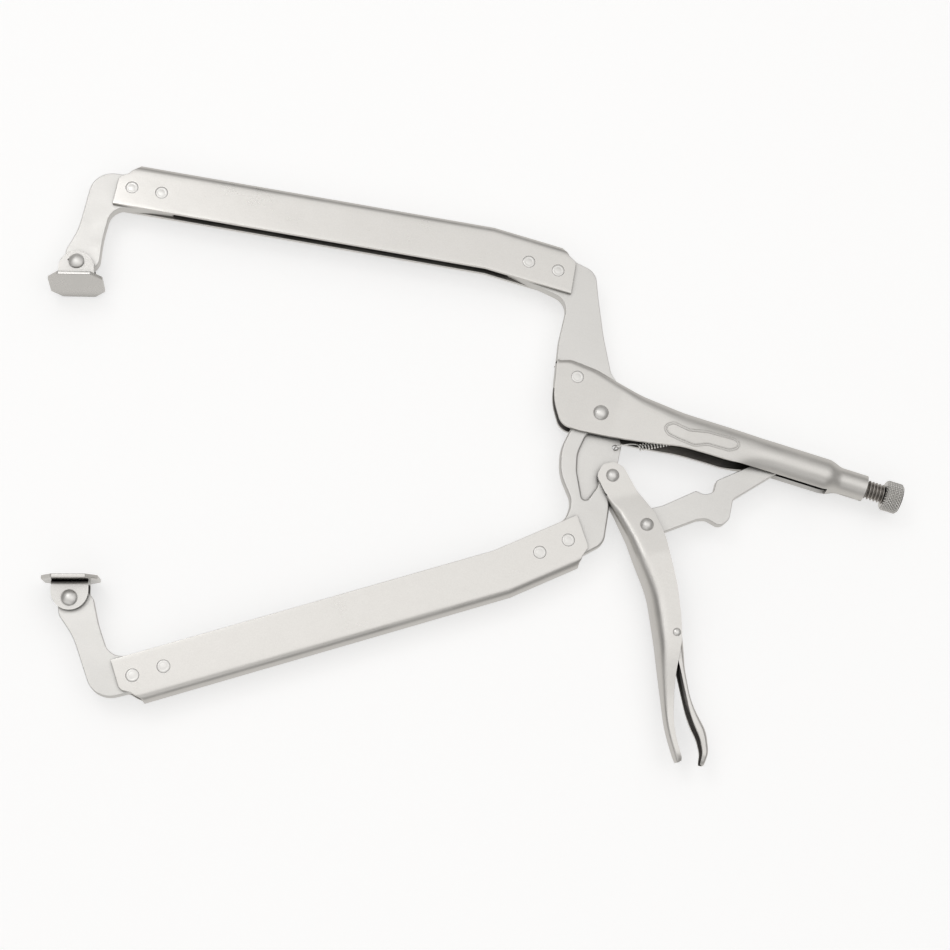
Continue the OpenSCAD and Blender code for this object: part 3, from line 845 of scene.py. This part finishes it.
# ---------------------------------------------------------------- pivots
LINK_RIVET_Z = 7.85
PIVOTS = [
    ("fixed_rivet", FIXED_RIVET, flush_profile(RIVET_R, CHEEK_HALF), "handle", "fixed_jaw_rivet"),
    ("main_rivet", (0, 0), dome_profile(3.4, 4, 1.5, CHEEK_HALF), "handle", "main_pivot_rivet"),
    ("lever_rivet", LEVER_PIVOT, dome_profile(2.95, 3.4, 1.5, EYE_HALF), "moving_jaw", "lever_pivot_rivet"),
    ("link_rivet", LINK_PIVOT, dome_profile(2.95, 3.4, 1.6, LINK_RIVET_Z), "closing_lever",
     "link_pivot_rivet"),
    ("release_rivet", RELEASE_PIVOT, dome_profile(1.75, 2.05, 0.8, FULL_HALF, 0.2), "closing_lever",
     "release_pivot_rivet"),
    ("anchor_pin", ANCHOR, flush_profile(1.45, FULL_HALF - 1.6), "handle", "spring_anchor_pin"),
]
for name, centre, profile, body, node in PIVOTS:
    rivets(name, [tuple(centre)], profile, WORK, body, rivet_mat, (node,))

# ---------------------------------------------------------------- levers


def split_outline(points, start, end):
    """Two paths along a closed outline between the points nearest to start and end."""
    n = len(points)
    a = min(range(n), key=lambda k: (points[k] - Vector(start)).length)
    b = min(range(n), key=lambda k: (points[k] - Vector(end)).length)
    one = [points[(a + k) % n] for k in range((b - a) % n + 1)]
    two = [points[(a - k) % n] for k in range((a - b) % n + 1)]
    return one, two


def lever_sheet():
    """The closing lever: two cheeks round the jaw that fold into a channel and end in a rounded tip."""
    outline = rounded([
        (14, -23.2, 3), (19, -24.2, 5), (28.5, -34, 12), (41, -43.2, 12), (49.3, -53.8, 12),
        (61.6, -76.6, 30), (67.3, -90.6, 10), (71, -102, 25), (73.3, -123.3, 90), (79.1, -146.1, 60),
        (87.8, -160, 1.5), (86.2, -163.8, 1.5), (75.3, -146.5, 80), (60.4, -109.3, 60),
        (49, -84.3, 60), (31.6, -60.5, 20), (14.6, -41.4, 5), (7, -33, 5), (8.6, -25.5, 5),
    ], 3)
    right, left = split_outline(outline, (11, -24), (87.2, -162.6))
    count = 100
    edges, tops = path_through(right, count), path_through(left, count)
    along_way = (LINK_PIVOT - LEVER_PIVOT).normalized()
    # The back of the channel starts below the eye that turns on the jaw.
    opens = [i for i, p in enumerate(tops) if p.y > -41.5 or p.x < 14.4]
    first = max(opens) + 1
    outer, inner = [], []
    for i, (e, t) in enumerate(zip(edges, tops)):
        s = ((e + t) / 2 - LEVER_PIVOT).dot(along_way)
        half = ramp(s, 12, 46, EYE_HALF, FULL_HALF)
        half = min(half, ramp(s, 84, 120, FULL_HALF, 4.6, True))
        tip = max(0.0, (i / count - 0.955) / 0.045)
        half *= math.sqrt(max(0.02, 1 - tip * tip))
        closed = i >= first
        grow = ramp(i, first, first + 7, 0.4, 3.6, True) + ramp(i, first + 4, first + 36, 0, 3.4)
        along, length = straight(e, t)
        grow = min(grow, length * 0.5, half * 0.92)
        rows = section(along, length, half, max(grow, 0.2), closed, min(SHEET, half * 0.5, length * 0.4))
        outer.append(rows[0])
        inner.append(rows[1])
    columns = len(outer[0])

    def keep(i, j):
        mirrored = min(j, columns - 2 - j)
        return mirrored < CHEEK or i >= first

    bm = bmesh.new()
    add_sheet(bm, outer[1:-1], inner[1:-1], lambda i, j: keep(i + 1, j))
    return finish_mesh(bm, "closing_lever_sheet", WORK, "closing_lever", nickel_lever, ("lever",))


def release_sheet():
    """The release lever: a narrow channel that is open towards the closing lever."""
    outline = rounded([
        (63.8, -95.5, 3), (69.8, -95.9, 3), (72.4, -103, 8), (76.6, -116, 30), (84, -131.5, 40),
        (95.2, -143, 16), (99.2, -152.5, 10), (98.9, -160.2, 0.8), (97.0, -159.6, 0.6), (96.4, -153.4, 10),
        (93.0, -146.8, 20), (86.4, -139.4, 60), (74.4, -116.8, 20), (69.2, -107.6, 10), (62.5, -101, 4),
    ], 3)
    right, left = split_outline(outline, (65, -95.6), (98, -160.2))
    count = 64
    tops, edges = path_through(right, count), path_through(left, count)
    outer, inner = [], []
    for i, (e, t) in enumerate(zip(edges, tops)):
        f = i / count
        taper = ramp(f, 0.7, 1.0, 1.0, 0.72, True)
        tip = max(0.0, (f - 0.92) / 0.08)
        half = RELEASE_HALF * taper * math.sqrt(max(0.03, 1 - tip ** 2))
        along, length = straight(e, t)
        bend = min(3.6, length * 0.48)
        rows = section(along, length, half, max(bend, 0.2), True, min(SHEET * 0.8, length * 0.4))
        outer.append(rows[0])
        inner.append(rows[1])
    bm = bmesh.new()
    add_sheet(bm, outer[1:-1], inner[1:-1], lambda i, j: True, rim=0.3)
    return finish_mesh(bm, "release_lever_sheet", WORK, "release", nickel_lever, ("release_lever",))


lever_sheet()
release_sheet()

LINK = [
    (33, -52, 4), (36, -42, 5), (44, -37.3, 4), (58.6, -24.2, 2), (63.5, -24.9, 5),
    (67.6, -22, 3), (67.4, -15.6, 2), (82, -2.8, 6), (96, 9.5, 4.2), (101.3, 4, 4.2),
    (92.7, -6.1, 3), (78.2, -22.6, 3), (79, -33.5, 4), (75.6, -38.6, 4), (67.5, -36.8, 5),
    (63.4, -38.5, 3), (49, -49.8, 3), (41, -57, 5),
]
plate("toggle_plate", rounded(LINK), [circle(LINK_PIVOT, PIVOT_BORE)], size("toggle_link").z / 2, 0.4, WORK,
      "link", plate_mat, ("toggle_link",))

# ---------------------------------------------------------------- screw and knob
PITCH = 1.8


def from_pivot(point):
    """Distance of a world point past the main pivot, along the tool."""
    return (point.x - PIVOT.x) / MM


def screw():
    bm = bmesh.new()
    start = from_pivot(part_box("adjusting_screw")[0])
    end = from_pivot(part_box("knob")[0]) - 0.05
    around, per_turn = 40, 12
    depth, tip_r, lead_in = 1.05, 2.4, 2.6
    count = int((end - start) / PITCH * per_turn)
    rings = []
    for i in range(count + 1):
        x = start + (end - start) * i / count
        fade = min(1, (x - start) / lead_in)
        ring = []
        for k in range(around):
            a = 2 * math.pi * k / around
            phase = (x / PITCH - k / around) % 1.0
            tooth = 1 - abs(2 * phase - 1)
            r = SCREW_R - depth * (1 - min(1, max(0, tooth * 1.35 - 0.12)))
            r = tip_r + (r - tip_r) * fade
            ring.append(bm.verts.new((x, AXIS_Y + r * math.cos(a), r * math.sin(a))))
        rings.append(ring)
    bridge(bm, rings)
    bm.faces.new(rings[0][::-1])
    bm.faces.new(rings[-1])
    return finish_mesh(bm, "threaded_screw", WORK, "screw", screw_mat, ("adjusting_screw",),
                       sharp=60, weighted=False)


def knurled_knob():
    """A turned knob whose band is cut by two families of helical grooves."""
    bm = bmesh.new()
    low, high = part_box("knob")
    start, long = from_pivot(low), from_pivot(high) - from_pivot(low)
    rim, margin, teeth, depth, slant = 0.9, 0.1, 30, 0.62, 0.9
    around, steps = teeth * 8, 44
    width = 2 * math.pi * KNOB_R / teeth
    dish_r, dish = 5.0, 0.25
    front = [(3.1, 0.0), (5.2, 0.0), (KNOB_R - rim - margin, 0.05)]
    band = []
    for k in range(steps + 1):
        round_off = 1 - smooth(min(1, k / 5, (steps - k) / 5))
        band.append((KNOB_R - rim * round_off, margin + (long - 2 * margin) * k / steps))
    back = [(KNOB_R - rim - 0.25, long), (dish_r + 0.4, long), (dish_r, long - dish), (0, long - dish)]
    rings = []
    for r, h in front + band + back:
        if r == 0:
            rings.append([bm.verts.new((start + h, AXIS_Y, 0))])
            continue
        ring = []
        for k in range(around):
            a = 2 * math.pi * k / around
            cut = 0.0
            if (r, h) in band:
                u, v = a * KNOB_R / width, h / width
                for s in (u + v * slant, u - v * slant):
                    groove = abs((s % 1.0) - 0.5) * 2
                    cut = max(cut, 1 - groove / 0.55)
            knurled = r - depth * cut
            ring.append(bm.verts.new((start + h, AXIS_Y + knurled * math.cos(a), knurled * math.sin(a))))
        rings.append(ring)
    bridge(bm, rings)
    bm.faces.new(rings[0][::-1])
    return finish_mesh(bm, "knurled_knob", WORK, "knob_turning", knob_mat, ("knob",),
                       sharp=60, weighted=False)


screw()
knurled_knob()

# ---------------------------------------------------------------- spring
COIL_FROM, COIL_TO = Vector((24.0, -10.4)), ANCHOR - Vector((2.6, 0.4))
COIL_R, WIRE_R, COIL_PITCH = 1.75, 0.42, 1.5
COIL_RUN = COIL_TO - COIL_FROM
COIL_WAY = COIL_RUN.normalized()
COIL_SIDE = Vector((-COIL_WAY.y, COIL_WAY.x))


def coil():
    """The wound part, whose last turn ends on the anchor pin."""
    bm = bmesh.new()
    turns = int(COIL_RUN.length / COIL_PITCH)
    per_turn = 16
    points = []
    for k in range(turns * per_turn + 1):
        a = 2 * math.pi * k / per_turn
        c = COIL_FROM + COIL_WAY * COIL_RUN.length * k / (turns * per_turn)
        p = c + COIL_SIDE * COIL_R * math.cos(a)
        points.append(Vector((p.x, p.y, COIL_R * math.sin(a))))
    last = points[-1]
    points += [Vector((last.x + 0.8, last.y, last.z)), Vector((ANCHOR.x, ANCHOR.y + 1.9, 0))]
    add_tube(bm, points, WIRE_R, 8)
    return finish_mesh(bm, "spring_coil", WORK, None, spring_mat, ("return_spring",),
                       sharp=80, weighted=False)


def smooth_path(keys, steps=8):
    """Catmull-Rom curve through all the keys."""
    points = []
    for i in range(len(keys) - 1):
        p0, p1, p2, p3 = keys[max(i - 1, 0)], keys[i], keys[i + 1], keys[min(i + 2, len(keys) - 1)]
        for k in range(steps):
            t = k / steps
            slope = (p2 - p0) * t
            bow = (2 * p0 - 5 * p1 + 4 * p2 - p3) * t * t
            twist = (3 * p1 - p0 - 3 * p2 + p3) * t ** 3
            points.append(0.5 * (2 * p1 + slope + bow + twist))
    return points + [keys[-1]]


def hook():
    """The wire from the coil over the jaw plate and through its hole."""
    bm = bmesh.new()
    start = COIL_FROM + COIL_SIDE * COIL_R
    top = PLATE / 2 + WIRE_R + 0.1
    keys = [
        Vector((start.x, start.y, 0)), Vector((start.x - 1.2, start.y - 0.6, 1.6)),
        Vector((19.3, -10.6, 2.8)), Vector((16.6, -12.4, top)), Vector((13.6, -14.3, top)),
        Vector((12.4, -15.0, top - 0.6)), Vector((12.2, -15.1, 1.4)), Vector((12.3, -15.0, -2)),
        Vector((12.8, -14.6, -top + 0.2)), Vector((14.6, -13.4, -top)),
    ]
    add_tube(bm, smooth_path(keys), WIRE_R, 10)
    return finish_mesh(bm, "spring_hook_wire", WORK, "moving_jaw", spring_mat, ("spring_hook",),
                       sharp=80, weighted=False)


spring = coil()
hook()

# ---------------------------------------------------------------- pads
EAR_OUT = PLATE / 2 + 1 + SHEET
EAR_SHEET, PAD_BACK, EAR_R, EAR_DROP, FOLD_R = 2.0, 9.5, 9.1, 3.7, 2.6
FACE_HALF, FACE_CORNER = 1.05, 1.2


def pad(side, pivot, turn, rock, flip):
    """A folded bracket with two round ears, its octagonal face and the swivel rivet through the ears."""
    place = WORK @ Matrix.Translation(pivot.to_3d()) @ Matrix.Rotation(turn, 4, "Z")
    place = place @ Matrix.Diagonal((1, flip, 1, 1))
    tilt = place @ Matrix.Rotation(rock, 4, "X")
    body = f"{side}_pad"
    outer, inner = [], []
    steps = 28
    for k in range(steps + 1):
        x = -EAR_R * math.cos(math.pi * k / steps)
        e = Vector((x, EAR_DROP - math.sqrt(max(0, EAR_R ** 2 - x * x))))
        along, length = straight(e, Vector((x, PAD_BACK)))
        rows = section(along, length, EAR_OUT, FOLD_R, True, EAR_SHEET)
        outer.append(rows[0])
        inner.append(rows[1])
    bm = bmesh.new()
    add_sheet(bm, outer, inner, lambda i, j: True)
    bracket = finish_mesh(bm, f"{side}_pad_ears", tilt, body, pad_mat, (f"{side}_pad_bracket",))
    drill(bracket, [(0, 0)], 3.1, tilt)
    if side == "upper":
        dimple = (-4.1, -0.4)
        drill(bracket, [dimple], 0.5, tilt)

    half, flat, corner = 13.9, 7.4, 8.4
    quarter = [(half, flat), (corner, half), (-corner, half), (-half, flat)]
    octagon = quarter + [(-x, -y) for x, y in quarter]
    bm = bmesh.new()
    add_plate(bm, rounded([(x, y, FACE_CORNER) for x, y in octagon]), [], FACE_HALF, 0.5)
    lay = tilt @ Matrix.Translation((0, PAD_BACK + FACE_HALF, 0)) @ Matrix.Rotation(math.pi / 2, 4, "X")
    finish_mesh(bm, f"{side}_pad_face", lay, body, pad_mat, (f"{side}_pad_plate",))
    rivets(f"{side}_swivel_rivet", [(0, 0)], dome_profile(2.4, 3.95, 1.4, EAR_OUT + 0.45), place,
           f"{side}_swivel", rivet_mat, (f"{side}_pad_rivet",))


def joint(name):
    return next(j for j in frame["joints"] if j["name"] == name)


upper_axis, lower_axis = joint("upper_pad_rock")["axis"], joint("lower_pad_rock")["axis"]
pad("upper", UPPER_PAD, math.atan2(-upper_axis[1], -upper_axis[0]), math.radians(4), -1)
pad("lower", LOWER_PAD, math.atan2(lower_axis[1], lower_axis[0]), math.radians(5), 1)

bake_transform(spring)

# ---------------------------------------------------------------- stage
AIM = PIVOT + Vector((-52.58, -50.84, 0)) * MM
DISTANCE, ELEVATION, AZIMUTH, ROLL, LENS = 0.99676, 73.989, -90.329, -17.753, 73.63


def build_camera():
    el, az = math.radians(ELEVATION), math.radians(AZIMUTH)
    away = Vector((math.cos(el) * math.cos(az), math.cos(el) * math.sin(az), math.sin(el)))
    ahead = -away
    right = ahead.cross(Vector((0, 0, 1))).normalized()
    up = right.cross(ahead)
    roll = math.radians(ROLL)
    tilted = up * math.cos(roll) + right * math.sin(roll)
    side = ahead.cross(tilted)
    data = bpy.data.cameras.new("camera")
    data.lens = LENS
    data.sensor_width = 36
    data.clip_start = 0.01
    data.clip_end = 20
    cam = bpy.data.objects.new("camera", data)
    turn = Matrix((side, tilted, away)).transposed().to_4x4()
    cam.matrix_world = Matrix.Translation(AIM + away * DISTANCE) @ turn
    bpy.context.scene.collection.objects.link(cam)
    bpy.context.scene.camera = cam


def area_light(name, place, aim, width, height, power):
    data = bpy.data.lights.new(name, "AREA")
    data.shape = "RECTANGLE"
    data.size, data.size_y = width, height
    data.energy = power
    light = bpy.data.objects.new(name, data)
    ahead = (Vector(aim) - Vector(place)).normalized()
    light.matrix_world = Matrix.Translation(place) @ ahead.to_track_quat("-Z", "Y").to_matrix().to_4x4()
    bpy.context.scene.collection.objects.link(light)


def build_floor():
    bm = bmesh.new()
    bmesh.ops.create_grid(bm, x_segments=2, y_segments=2, size=6)
    mesh = bpy.data.meshes.new("floor")
    bm.to_mesh(mesh)
    bm.free()
    mat = bpy.data.materials.new("pale_floor")
    mat.use_nodes = True
    shader = mat.node_tree.nodes["Principled BSDF"]
    shader.inputs["Base Color"].default_value = (0.62, 0.62, 0.62, 1)
    shader.inputs["Emission Color"].default_value = (1, 1, 1, 1)
    shader.inputs["Emission Strength"].default_value = 0.56
    shader.inputs["Roughness"].default_value = 0.9
    mesh.materials.append(mat)
    floor = bpy.data.objects.new("floor", mesh)
    floor.location = (0, 0, cad_box[0][2] - 0.0002)
    bpy.context.scene.collection.objects.link(floor)
    floor.visible_glossy = False


def build_world():
    world = bpy.data.worlds.new("studio")
    bpy.context.scene.world = world
    world.use_nodes = True
    nodes, links = world.node_tree.nodes, world.node_tree.links
    coord = nodes.new("ShaderNodeTexCoord")
    split = nodes.new("ShaderNodeSeparateXYZ")
    ramp_node = nodes.new("ShaderNodeValToRGB")
    stops = ((0.0, 0.7), (0.1, 0.46), (0.3, 0.36), (0.5, 0.22), (0.7, 0.34), (1.0, 0.55))
    for k, (place, grey) in enumerate(stops):
        element = ramp_node.color_ramp.elements[k] if k < 2 else ramp_node.color_ramp.elements.new(place)
        element.position = place
        element.color = (grey, grey * 0.98, grey * 0.95, 1)
    links.new(coord.outputs["Generated"], split.inputs[0])
    links.new(split.outputs["Z"], ramp_node.inputs["Fac"])
    links.new(ramp_node.outputs["Color"], nodes["Background"].inputs["Color"])
    nodes["Background"].inputs["Strength"].default_value = 1.0


build_camera()
build_floor()
build_world()
area_light("overhead", (0, 0.2, 1.5), (0, 0.05, 0), 2.6, 1.3, 6)
area_light("behind", (0, 1.3, 1.3), (0, 0, 0), 2.6, 0.9, 2.2)
area_light("key", (-0.63, 0.375, 1.3), (0, 0, 0), 0.35, 0.35, 0.8)
area_light("front", (-0.2, -1.1, 1.2), (0, 0, 0), 2.4, 0.8, 2.6)
bpy.context.scene.view_settings.view_transform = "Standard"
